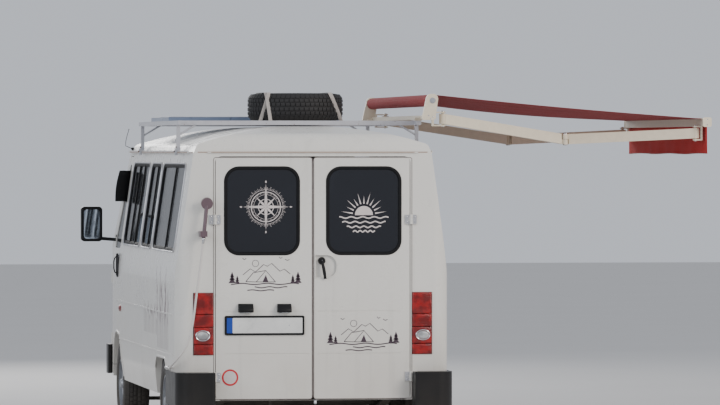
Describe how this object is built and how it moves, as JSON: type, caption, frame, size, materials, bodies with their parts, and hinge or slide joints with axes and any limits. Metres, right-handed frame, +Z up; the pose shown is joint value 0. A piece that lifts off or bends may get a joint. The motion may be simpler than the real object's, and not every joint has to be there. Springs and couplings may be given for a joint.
{
  "type": "camper van",
  "caption": "Low-floor panel-van camper with hinged rear and cab doors, steered front wheels, roof rack with spare wheel, folding side awning and an outdoor shower hose.",
  "frame": {"origin": "bottom centre of the box round the whole vehicle with its awning half out, on the ground", "axes": "+X to the vehicle's left, -Y forward, +Z up"},
  "size_m": [3.994, 4.845, 2.4823],
  "materials": {
    "body_paint": "gloss off-white paint",
    "glass": "clear",
    "black_plastic": "textured black",
    "lamp_red": "clear red",
    "lamp_clear": "clear",
    "tyre": "worn rubber",
    "rim": "silver paint",
    "steel": "dull",
    "underbody": "black wax",
    "engine": "cast",
    "mirror_shell": "satin grey",
    "interior_plastic": "dark grey",
    "seat_fabric": "dark blue cloth",
    "cupboard": "light veneer",
    "bench_fabric": "grey blue cloth",
    "rack": "light grey paint",
    "panel": "dark blue panel",
    "awning_metal": "cream anodised",
    "awning_arm": "cream paint",
    "awning_cloth": "red acrylic cloth",
    "handset": "light",
    "hose": "light grey"
  },
  "bodies": {
    "rear_door_left": {"rear_door_left": "body_paint", "rear_glass_left": "glass"},
    "rear_door_right": {"rear_door_right": "body_paint", "rear_glass_right": "glass"},
    "cab_door_left": {"cab_door_left": "body_paint", "cab_glass_left": "glass", "mirror_left": "mirror_shell"},
    "cab_door_right": {"cab_door_right": "body_paint", "cab_glass_right": "glass", "mirror_right": "mirror_shell"},
    "bonnet": {"bonnet": "body_paint"},
    "knuckle_left": {"knuckle_left": "steel"},
    "knuckle_right": {"knuckle_right": "steel"},
    "arm_near_inner": {"arm_near_inner": "awning_arm"},
    "arm_near_outer": {"arm_near_outer": "awning_arm"},
    "arm_far_inner": {"arm_far_inner": "awning_arm"},
    "arm_far_outer": {"arm_far_outer": "awning_arm"},
    "awning_front_bar": {"awning_front_bar": "awning_metal", "awning_valance": "awning_cloth"},
    "wheel_front_left": {"tyre_front_left": "tyre", "rim_front_left": "rim"},
    "wheel_front_right": {"tyre_front_right": "tyre", "rim_front_right": "rim"},
    "wheel_rear_left": {"tyre_rear_left": "tyre", "rim_rear_left": "rim"},
    "wheel_rear_right": {"tyre_rear_right": "tyre", "rim_rear_right": "rim"},
    "body": {"roof_panel": "body_paint", "side_panel_left": "body_paint", "side_panel_right": "body_paint", "sliding_door": "body_paint", "rear_frame": "body_paint", "front_panel": "body_paint", "body_glass": "glass", "floor_pan": "underbody", "front_axle": "underbody", "rear_axle": "underbody", "engine_block": "engine", "exhaust": "steel", "fuel_tank": "underbody", "bumpers": "black_plastic", "grille": "black_plastic", "tail_lamps": "lamp_red", "headlamps": "lamp_clear", "dashboard": "interior_plastic", "cab_seats": "seat_fabric", "furniture": "cupboard", "rear_bench": "bench_fabric", "roof_rack": "rack", "rack_panel": "panel", "spare_wheel": "tyre", "awning_case": "awning_metal", "awning_roll": "awning_cloth", "awning_fabric": "awning_cloth", "shower_handset": "handset", "shower_hose": "hose"}
  },
  "joints": [
    {"name": "awning_fold", "type": "hinge", "parent": "body", "child": "arm_near_inner", "pos_m": [-0.126, 1.9725, 2.298], "axis": [0, 0, 1], "range_deg": [0, 72], "deforming": ["awning_fabric"]},
    {"name": "awning_near_elbow", "type": "hinge", "parent": "arm_near_inner", "child": "arm_near_outer", "pos_m": [-1.0145, 1.81263, 2.158], "axis": [0, 0, 1], "range_deg": [-144, 0]},
    {"name": "awning_near_wrist", "type": "hinge", "parent": "arm_near_outer", "child": "awning_front_bar", "pos_m": [-1.903, 1.9725, 2.2], "axis": [0, 0, 1], "range_deg": [0, 72]},
    {"name": "awning_far_shoulder", "type": "hinge", "parent": "body", "child": "arm_far_inner", "pos_m": [-0.126, -0.6175, 2.298], "axis": [0, 0, 1], "range_deg": [-72, 0]},
    {"name": "awning_far_elbow", "type": "hinge", "parent": "arm_far_inner", "child": "arm_far_outer", "pos_m": [-1.0145, -0.45763, 2.158], "axis": [0, 0, 1], "range_deg": [0, 144]},
    {"name": "rear_door_left_hinge", "type": "hinge", "parent": "body", "child": "rear_door_left", "pos_m": [1.493, 2.2875, 1], "axis": [0, 0, -1], "range_deg": [0, 90]},
    {"name": "rear_door_right_hinge", "type": "hinge", "parent": "body", "child": "rear_door_right", "pos_m": [0.145, 2.2875, 1], "axis": [0, 0, 1], "range_deg": [0, 90]},
    {"name": "cab_door_left_hinge", "type": "hinge", "parent": "body", "child": "cab_door_left", "pos_m": [1.739, -2.0935, 0.9], "axis": [0, 0, -1], "range_deg": [0, 65]},
    {"name": "cab_door_right_hinge", "type": "hinge", "parent": "body", "child": "cab_door_right", "pos_m": [-0.101, -2.0935, 0.9], "axis": [0, 0, 1], "range_deg": [0, 65]},
    {"name": "bonnet_hinge", "type": "hinge", "parent": "body", "child": "bonnet", "pos_m": [0.819, -2.1455, 1.268], "axis": [-1, 0, 0], "range_deg": [0, 55]},
    {"name": "steer_left", "type": "hinge", "parent": "body", "child": "knuckle_left", "pos_m": [1.579, -1.5775, 0.3375], "axis": [0, 0, 1], "range_deg": [-30, 30]},
    {"name": "steer_right", "type": "hinge", "parent": "body", "child": "knuckle_right", "pos_m": [0.059, -1.5775, 0.3375], "axis": [0, 0, 1], "range_deg": [-30, 30]},
    {"name": "spin_front_left", "type": "hinge", "parent": "knuckle_left", "child": "wheel_front_left", "pos_m": [1.639, -1.5775, 0.3375], "axis": [1, 0, 0], "continuous": true},
    {"name": "spin_front_right", "type": "hinge", "parent": "knuckle_right", "child": "wheel_front_right", "pos_m": [-0.001, -1.5775, 0.3375], "axis": [1, 0, 0], "continuous": true},
    {"name": "spin_rear_left", "type": "hinge", "parent": "body", "child": "wheel_rear_left", "pos_m": [1.639, 1.3725, 0.3375], "axis": [1, 0, 0], "continuous": true},
    {"name": "spin_rear_right", "type": "hinge", "parent": "body", "child": "wheel_rear_right", "pos_m": [-0.001, 1.3725, 0.3375], "axis": [1, 0, 0], "continuous": true}
  ],
  "couplings": [
    {"joint": "awning_near_elbow", "follows": "awning_fold", "ratio": -2},
    {"joint": "awning_near_wrist", "follows": "awning_fold", "ratio": 1},
    {"joint": "awning_far_shoulder", "follows": "awning_fold", "ratio": -1},
    {"joint": "awning_far_elbow", "follows": "awning_fold", "ratio": 2},
    {"joint": "steer_right", "follows": "steer_left", "ratio": 1}
  ]
}
